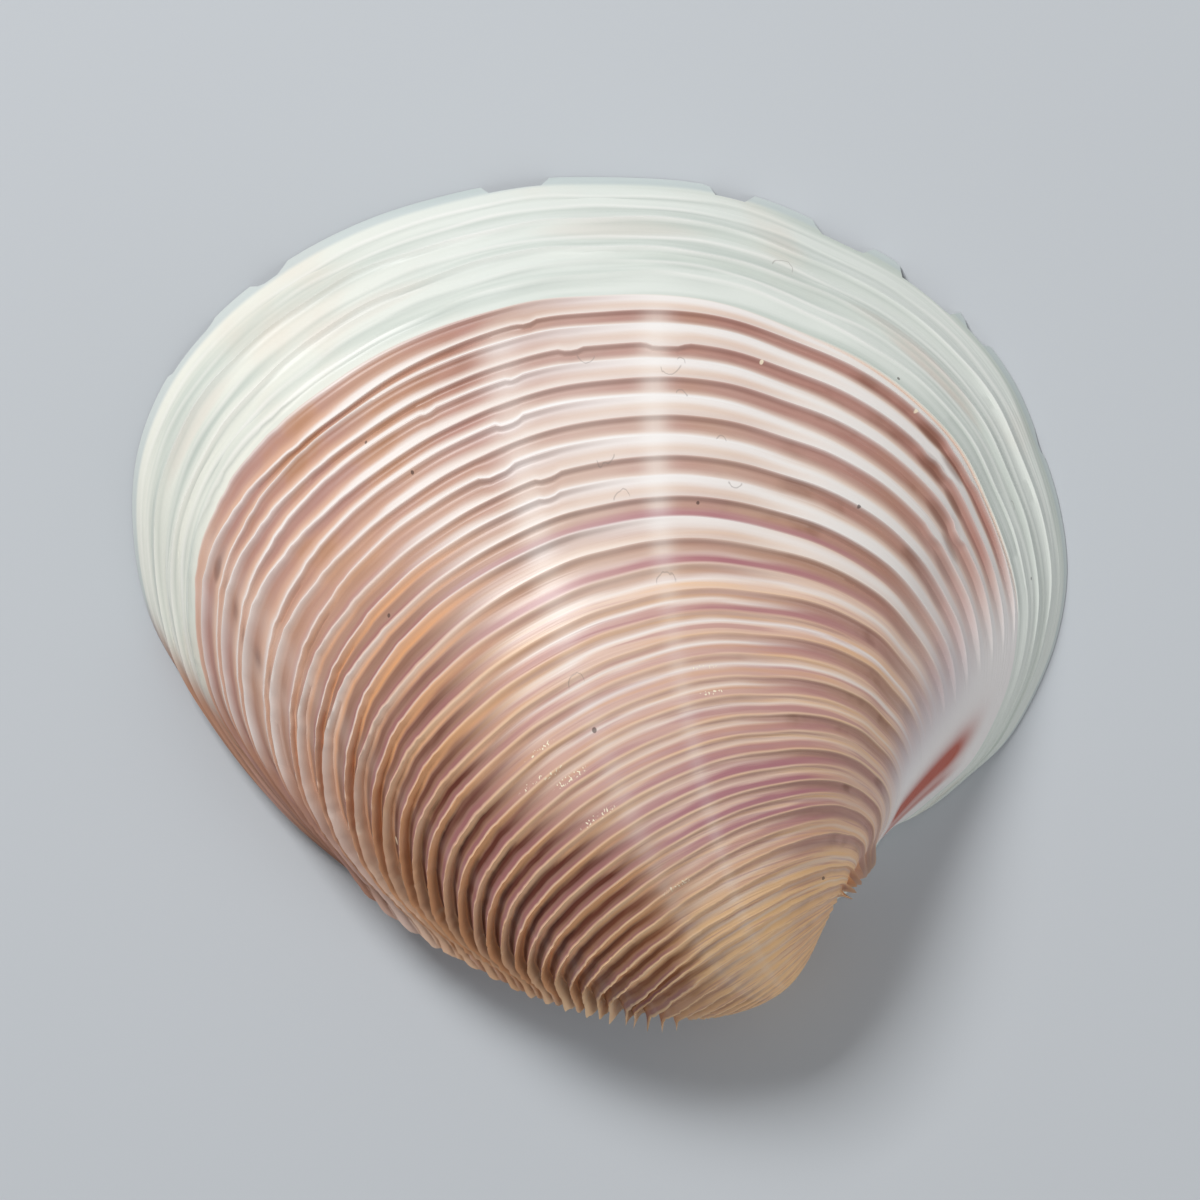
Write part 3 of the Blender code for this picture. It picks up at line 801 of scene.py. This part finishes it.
def add_marks(mesh, rows):
    """Stores how far round and how far back each point lies, and how much of each colour it has."""
    u = np.concatenate([u for _, u, _, _ in rows] + [[0.0, 0.0]])
    turn = np.concatenate([turn for _, _, turn, _ in rows] + [[LAST_TURN, LAST_TURN]])
    ring = np.column_stack((np.cos(2.0 * np.pi * u), np.sin(2.0 * np.pi * u), turn))
    layer = mesh.attributes.new("ring", "FLOAT_VECTOR", "POINT")
    layer.data.foreach_set("vector", ring.astype(np.float32).ravel())
    add_layer(mesh, "around", np.where(u < 0.9, u, u - 1.0))
    add_layer(mesh, "turn", turn)
    for name in ("brown", "white", "purple", "line", "gap", "mauve", "tan", "margin", "bright", "wave_shade"):
        marks = [marks.get(name, np.zeros(len(u))) for _, u, _, marks in rows]
        add_layer(mesh, name, np.concatenate(marks + [[0.0, 0.0]]))
    for name, values in radial_marks(turn, u).items():
        add_layer(mesh, name, values)


def add_layer(mesh, name, values):
    layer = mesh.attributes.new(name, "FLOAT", "POINT")
    layer.data.foreach_set("value", np.asarray(values, np.float32))


class Wire:
    """A socket of a shader. Sums and products on it add Math nodes."""

    def __init__(self, shader, socket):
        self.shader = shader
        self.socket = socket

    def math(self, operation, *values):
        return self.shader.node("Math", {"operation": operation}, dict(enumerate(values)))

    def __add__(self, other):
        return self.math("ADD", self, other)

    def __radd__(self, other):
        return self.math("ADD", other, self)

    def __sub__(self, other):
        return self.math("SUBTRACT", self, other)

    def __rsub__(self, other):
        return self.math("SUBTRACT", other, self)

    def __mul__(self, other):
        return self.math("MULTIPLY", self, other)

    def __rmul__(self, other):
        return self.math("MULTIPLY", other, self)

    def clip(self):
        settings = {"operation": "ADD", "use_clamp": True}
        return self.shader.node("Math", settings, {0: self, 1: 0.0})

    def step(self, low, high):
        """0 below low, 1 above high, smooth between. low may be the greater one."""
        settings = {"interpolation_type": "SMOOTHSTEP", "clamp": True}
        if low < high:
            return self.shader.node("MapRange", settings, {0: self, 1: low, 2: high})
        return 1.0 - self.step(high, low)


class Shader:
    """A new material with a Principled surface; node() adds any other node."""

    def __init__(self, name):
        self.material = bpy.data.materials.new(name)
        self.material.use_nodes = True
        self.tree = self.material.node_tree
        self.surface = self.tree.nodes["Principled BSDF"]

    def put(self, socket, value):
        if isinstance(value, Wire):
            self.tree.links.new(value.socket, socket)
        elif isinstance(value, tuple) and len(value) == 3 and socket.type == "RGBA":
            socket.default_value = (*value, 1.0)
        else:
            socket.default_value = value

    def node(self, kind, settings=None, inputs=None, output=0):
        node = self.tree.nodes.new("ShaderNode" + kind)
        for name, value in (settings or {}).items():
            setattr(node, name, value)
        for name, value in (inputs or {}).items():
            self.put(node.inputs[name], value)
        return Wire(self, node.outputs[output])

    def mark(self, name):
        return self.node("Attribute", {"attribute_name": name}, output="Fac")

    def mix(self, start, end, share):
        """Blends two colours by share."""
        return self.node("Mix", {"data_type": "RGBA"}, {0: share, 6: start, 7: end}, output=2)

    def noise(self, around, along, scale, detail=3.0):
        """Noise laid out by growth, with its fineness round the shell and along the growth."""
        ring = self.node("Attribute", {"attribute_name": "ring"}, output="Vector")
        stretch = {0: ring, 1: (around, around, along)}
        place = self.node("VectorMath", {"operation": "MULTIPLY"}, stretch)
        inputs = {"Vector": place, "Scale": scale, "Detail": detail}
        return self.node("TexNoise", {}, inputs, "Fac")

    def finish(self, colour, roughness, height=None, depth=0.0):
        """Sets the surface; height is a fine relief that is depth deep, in millimetres."""
        self.put(self.surface.inputs["Base Color"], colour)
        self.put(self.surface.inputs["Roughness"], roughness)
        self.put(self.surface.inputs["Specular IOR Level"], SPECULAR)
        if height is not None:
            inputs = {"Height": height, "Distance": depth * MM, "Strength": 1.0}
            bump = self.node("Bump", {}, inputs)
            self.put(self.surface.inputs["Normal"], bump)


WHITE = (0.78, 0.815, 0.76)
# Painted shade of the margin's fine growth lines.
MARGIN_SHADE = (0.54, 0.60, 0.54)
MARGIN_CREAM = (0.88, 0.87, 0.77)
MARGIN_GREY = (0.78, 0.82, 0.77)
THIN_EDGE = (0.52, 0.59, 0.60)
# Painted shade behind each margin wave.
WAVE_SHADE = (0.44, 0.49, 0.45)
CREAM = (0.90, 0.79, 0.69)
PINK_BEIGE = (0.76, 0.45, 0.31)
LILAC_PINK = (0.82, 0.53, 0.38)
BROWN = (0.50, 0.285, 0.205)
ORANGE_BROWN = (0.58, 0.30, 0.16)
PINK_BROWN = (0.49, 0.265, 0.22)
DARK_BROWN = (0.24, 0.10, 0.06)
# Warm white of painted highlights on slopes, crests and margin waves, also used for the pale rays.
HIGHLIGHT = (0.96, 0.93, 0.90)
PURPLE = (0.46, 0.20, 0.22)
ORANGE_LINE = (0.92, 0.55, 0.24)
TAN = (0.84, 0.42, 0.20)
# Dark of the gaps: partly their own deep brown, partly painted shade.
GAP_BROWN_AND_SHADE = (0.13, 0.035, 0.022)
MAUVE = (0.38, 0.16, 0.155)
BEAK_TAN = (1.0, 0.63, 0.31)
BEAK_BROWN = (0.30, 0.11, 0.045)
BEAK_LINE = (1.0, 0.76, 0.48)
FRONT_WHITE = (0.92, 0.88, 0.86)
FRONT_LILAC = (0.60, 0.52, 0.56)
FRONT_PALE = (0.80, 0.66, 0.62)
STREAK_RED = (0.50, 0.12, 0.08)
STRIP_BROWN = (0.46, 0.21, 0.12)
STAIN_BROWN = (0.70, 0.50, 0.42)
# Dark brown painted shade beneath the back tips.
UNDER_TIPS_SHADE = (0.22, 0.10, 0.07)
DIRT_GREY = (0.26, 0.22, 0.20)
DIRT_BLACK = (0.05, 0.03, 0.025)
# Warm white of the painted glints and pale specks.
GLINT = (1.0, 0.90, 0.68)
INSIDE_WHITE = (0.80, 0.78, 0.72)
INSIDE_PINK = (0.72, 0.60, 0.56)
FLOOR_GREY = (0.56, 0.59, 0.62)
SPECULAR = 0.35


# Zones of the outer face's colours; the first value may be the greater one.
BACK = (0.40, 0.52)
ORANGE_OVER = (0.60, 0.52)
FRONT = (0.34, 0.22)
YOUNG = (0.48, 0.70)
OLDER = (0.95, 1.25)
BEAK_END = (1.05, 1.50)
# The pale ends of the ridges in front, which reach further forward on the young shell.
RIDGE_ENDS = (0.215, 0.135)
ENDS_FORWARD = 0.08
FORWARD_BY_TURN = (0.5, 1.1)
ENDS_START = (0.24, 0.42)
ENDS_STOP = (1.60, 1.40)
# By u and by turn: the smooth front, its lilac side, the dark strip at the back, and the painted shade
# under the back tips on the hinge side.
SMOOTH_FRONT = ((0.165, 0.11), (1.1, 0.8))
LILAC_SIDE = ((0.095, 0.150), (0.30, 0.55))
STRIP = ((0.640, 0.668), (0.60, 0.35))
HINGE_UNDER = ((0.722, 0.738), (0.30, 0.50))
HINGE_UNDER_END = (0.84, 0.80)
THIN_EDGE_BY_TURN = (0.017, 0.009)
CREAM_BACK = (0.40, 0.55)
GREY_FRONT = (0.26, 0.12)
# Noises: fineness round the shell and along the growth, scale and, where given, detail.
STREAKS = (2.0, 40.0, 1.5)
BROWN_CLOUDS = (2.6, 6.0, 1.6)
PATCHES = (1.3, 3.0, 1.3)
FINE_LINES = (1.1, 70.0, 1.2)
SURFACE_LINES = (1.0, 160.0, 1.0)
SURFACE_DEPTH = 0.02
GLINT_DOTS = (45.0, 95.0, 2.0, 0.0)
WANDER = (16.0, 16.0, 1.0)
MARGIN_SHADE_LINES = (0.8, 30.0, 1.0)
MARGIN_CLOUDS = (1.8, 5.0, 1.4)
INSIDE_CLOUDS = (1.5, 2.0, 1.5)


class OuterFace(Shader):
    """The outer face's shader, with what its colours share: the place on the shell, zones and noises."""

    def __init__(self):
        super().__init__("banded_shell")
        self.turn = self.mark("turn")
        self.around = self.mark("around")
        self.back = self.around.step(*BACK)
        self.front = self.around.step(*FRONT)
        self.young = self.turn.step(*YOUNG)
        self.older = self.turn.step(*OLDER)
        self.beak = self.turn.step(*BEAK_END)
        self.streaks = self.noise(*STREAKS)
        self.clouds = self.noise(*BROWN_CLOUDS)
        self.patches = self.noise(*PATCHES)

    def zone(self, by_u, by_turn):
        """1 in a zone of the face, given by the u and by the turn over which it fades in."""
        return self.around.step(*by_u) * self.turn.step(*by_turn)


def outside_finish():
    """Glossy outer face: white margin, brown bands fading to white, ochre beak."""
    face = OuterFace()
    colour = ground_colour(face)
    for layer in (add_bands, add_crests, add_plain_sides, add_dust_and_glints):
        colour = layer(face, colour)
    face.finish(colour, 0.30 + 0.14 * face.streaks, face.noise(*SURFACE_LINES), SURFACE_DEPTH)
    return face.material


def ground_colour(face):
    """The ground between the bands: cream to pink, fine lines on the young shell, ochre on the beak."""
    mix = face.mix
    ground = mix(CREAM, PINK_BEIGE, face.back * 0.7 + face.streaks * 0.35)
    ground = mix(ground, LILAC_PINK, face.young * 0.6 + face.front * 0.3)
    ground = mix(ground, PINK_BEIGE, face.older * 0.7)
    ground = mix(ground, BEAK_TAN, face.beak * 0.9)
    lines = face.noise(*FINE_LINES)
    ground = mix(ground, ORANGE_LINE, lines.step(0.50, 0.66) * face.young * 0.42)
    return mix(ground, PURPLE, lines.step(0.48, 0.34) * face.young * 0.45)


def add_bands(face, colour):
    """White, brown, purple, mauve and tan bands, and the dark of the gaps; the white is partly a painted
    highlight and the dark of the gaps partly painted shade.
    """
    mix, mark = face.mix, face.mark
    # White bands, partly a painted highlight on slopes facing the light.
    colour = mix(colour, HIGHLIGHT, mark("white"))
    brown = mix(BROWN, PINK_BROWN, face.patches.step(0.4, 0.6))
    orange = face.back * face.around.step(*ORANGE_OVER) * face.clouds.step(0.45, 0.68)
    brown = mix(brown, ORANGE_BROWN, orange * 0.8)
    brown = mix(brown, DARK_BROWN, face.clouds.step(0.52, 0.70) * (0.25 + 0.4 * face.front))
    browned = mark("brown") * (0.72 + 0.5 * face.streaks) * (1.0 - 0.7 * mark("ray"))
    colour = mix(colour, brown, browned)
    for u, place, size, strength in BLOTCHES:
        blotch = off_point(face.turn, face.around, u, place, size, BLOTCH_STRETCH)[0].step(1.6, 0.0)
        colour = mix(colour, DARK_BROWN, blotch * strength)
    colour = mix(colour, PURPLE, mark("purple") * (0.45 + face.patches))
    colour = mix(colour, MAUVE, mark("mauve"))
    colour = mix(colour, TAN, mark("tan"))
    # Dark of the gaps, partly brown and partly painted shade.
    return mix(colour, mix(GAP_BROWN_AND_SHADE, BEAK_BROWN, face.beak), mark("gap") * (0.8 + 0.4 * face.streaks))


def add_crests(face, colour):
    """Pale ends of the ridges in front, fine lines along the crests that are partly painted highlight, pale
    rays across them.
    """
    mix, mark = face.mix, face.mark
    forward = face.turn.step(*FORWARD_BY_TURN) * ENDS_FORWARD
    ends = (face.around + forward).step(*RIDGE_ENDS)
    ends = ends * face.turn.step(*ENDS_START) * face.turn.step(*ENDS_STOP)
    colour = mix(colour, FRONT_PALE, ends * 0.6)
    # Crest lines, partly their own pale colour and partly painted highlight.
    line = mix(HIGHLIGHT, ORANGE_LINE, face.young * (0.4 + 0.6 * face.streaks))
    line = mix(line, BEAK_LINE, face.older)
    colour = mix(colour, line, mark("line") * 0.8)
    pale = (mark("ray") + mark("crease") * 0.3) * (1.0 - 0.5 * face.young) * (0.3 + face.streaks)
    return mix(colour, HIGHLIGHT, pale * 0.45)


def add_plain_sides(face, colour):
    """Where the bands end: the smooth front with its red streaks, the margin, painted shade under the back
    tips on the hinge side, painted highlights on the margin waves, the strip.
    """
    mix, mark = face.mix, face.mark
    front = mix(FRONT_WHITE, FRONT_LILAC, face.zone(*LILAC_SIDE))
    colour = mix(colour, front, face.zone(*SMOOTH_FRONT))
    colour = mix(colour, STREAK_RED, mark("streak"))
    colour = mix(colour, margin_colour(face), mark("margin"))
    # Painted shade, dark brown, under the back tips on the hinge side.
    under = face.zone(*HINGE_UNDER) * face.around.step(*HINGE_UNDER_END)
    colour = mix(colour, UNDER_TIPS_SHADE, under * (1.0 - mark("line")) * 0.85)
    # Painted highlight along the crests of the margin waves.
    colour = mix(colour, HIGHLIGHT, mark("bright").clip() * 0.5)
    strip = mix(STRIP_BROWN, PINK_BROWN, face.streaks.step(0.4, 0.7))
    return mix(colour, strip, face.zone(*STRIP) * 0.9)


def margin_colour(face):
    """Chalky white of the newest shell: cooler in front, creamier at the back, with fine growth lines
    painted as shade and painted shade behind each wave.
    """
    mix = face.mix
    colour = mix(WHITE, MARGIN_CREAM, face.around.step(*CREAM_BACK) * 0.8)
    colour = mix(colour, MARGIN_GREY, face.around.step(*GREY_FRONT) * 0.7)
    # Fine growth lines painted as shade.
    colour = mix(colour, MARGIN_SHADE, face.noise(*MARGIN_SHADE_LINES).step(0.42, 0.72) * 0.8)
    colour = mix(colour, LILAC_PINK, face.noise(*MARGIN_CLOUDS).step(0.55, 0.75) * 0.18)
    for u, place, size, strength in STAINS:
        stain = off_point(face.turn, face.around, u, place, size, STAIN_STRETCH)[0].step(1.4, 0.1)
        colour = mix(colour, STAIN_BROWN, stain * strength)
    # Painted shade just behind each margin wave.
    colour = mix(colour, WAVE_SHADE, face.mark("wave_shade") * 0.6)
    return mix(colour, THIN_EDGE, face.turn.step(*THIN_EDGE_BY_TURN) * 0.7)


def add_dust_and_glints(face, colour):
    """Dark specks and threads of dust, and painted highlights: pale specks and glints along the ridges."""
    mix, turn, around = face.mix, face.turn, face.around
    # Dark specks of dust, then pale specks painted as highlights.
    for specks, speck_colour, share in ((DARK_SPECKS, DIRT_BLACK, 0.7), (GLINT_SPECKS, GLINT, 0.8)):
        for speck in specks:
            speck_share = off_point(turn, around, *speck)[0].step(1.4, 0.5)
            colour = mix(colour, speck_colour, speck_share * share)
    # Painted glints: dotted highlights along the ridges.
    glint_dots = face.noise(*GLINT_DOTS).step(0.60, 0.68)
    for glint in GLINTS:
        glow = off_point(turn, around, *glint, GLINT_STRETCH)[0].step(1.5, 0.5)
        colour = mix(colour, GLINT, glow * glint_dots)
    wander = (face.noise(*WANDER) - 0.5) * FIBRE_WANDER
    turn, around = turn + wander, around + wander * 0.3
    for thread in FIBRES:
        colour = mix(colour, DIRT_GREY, fibre(turn, around, *thread) * 0.45)
    return colour


def off_point(turn, around, u, place, size, stretch=1.0):
    """Squared distance from a point of the surface, 1 at size, and the way along the growth from it."""
    reach = float(shrink(place))
    across = (around - u) * (RIM_LENGTH * reach / (size * stretch))
    along = (turn - place) * (TURN_LENGTH * reach / size)
    return across * across + along * along, along


def fibre(turn, around, u, place, size, side):
    """A thin curved thread of dust: part of a small ring, on one side of its middle."""
    squared, along = off_point(turn, around, u, place, size)
    width = FIBRE_WIDTH / size
    ring = squared.step((1.0 - width) ** 2, 1.0) * squared.step((1.0 + width) ** 2, 1.0)
    return ring * (along * side).step(-0.1, 0.3)


def inside_finish():
    """Smooth porcelain white inside."""
    shader = Shader("porcelain_inside")
    clouds = shader.noise(*INSIDE_CLOUDS).step(0.45, 0.75)
    shader.finish(shader.mix(INSIDE_WHITE, INSIDE_PINK, clouds * 0.6), 0.25)
    return shader.material


def add_camera():
    data = bpy.data.cameras.new("camera")
    data.sensor_width = SENSOR
    data.lens = SENSOR * CAMERA_HEIGHT / FRAME_WIDTH
    data.clip_start = CLIP_START * MM
    camera = bpy.data.objects.new("camera", data)
    camera.location = (FRAME_MIDDLE[0] * MM, FRAME_MIDDLE[1] * MM, CAMERA_HEIGHT * MM)
    bpy.context.scene.collection.objects.link(camera)
    bpy.context.scene.camera = camera


def add_floor():
    side, below = FLOOR_SIDE * MM, -FLOOR_DROP * MM
    corners = [(x, y, below) for x, y in ((-side, -side), (side, -side), (side, side), (-side, side))]
    mesh = bpy.data.meshes.new("floor")
    mesh.from_pydata(corners, [], [(0, 1, 2, 3)])
    shader = Shader("pale_floor")
    shader.finish(FLOOR_GREY, 0.7)
    mesh.materials.append(shader.material)
    floor = bpy.data.objects.new("floor", mesh)
    bpy.context.scene.collection.objects.link(floor)


def add_lamp(name, place, size, power):
    """A square soft light at place, aimed at the middle of the valve."""
    data = bpy.data.lights.new(name, "AREA")
    data.size = size * MM
    data.energy = power
    lamp = bpy.data.objects.new(name, data)
    lamp.location = [value * MM for value in place]
    lamp.rotation_euler = (-lamp.location).to_track_quat("-Z", "Y").to_euler()
    bpy.context.scene.collection.objects.link(lamp)


def add_studio():
    for lamp in LAMPS:
        add_lamp(*lamp)
    world = bpy.data.worlds.new("studio")
    world.use_nodes = True
    background = world.node_tree.nodes["Background"]
    background.inputs["Color"].default_value = SKY
    background.inputs["Strength"].default_value = SKY_STRENGTH
    bpy.context.scene.world = world
    bpy.context.scene.view_settings.view_transform = "Standard"


add_camera()
add_studio()
add_floor()
valve = build_valve(outside_finish(), inside_finish())
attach(valve, "root")
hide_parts("left_valve")
bpy.context.view_layer.update()
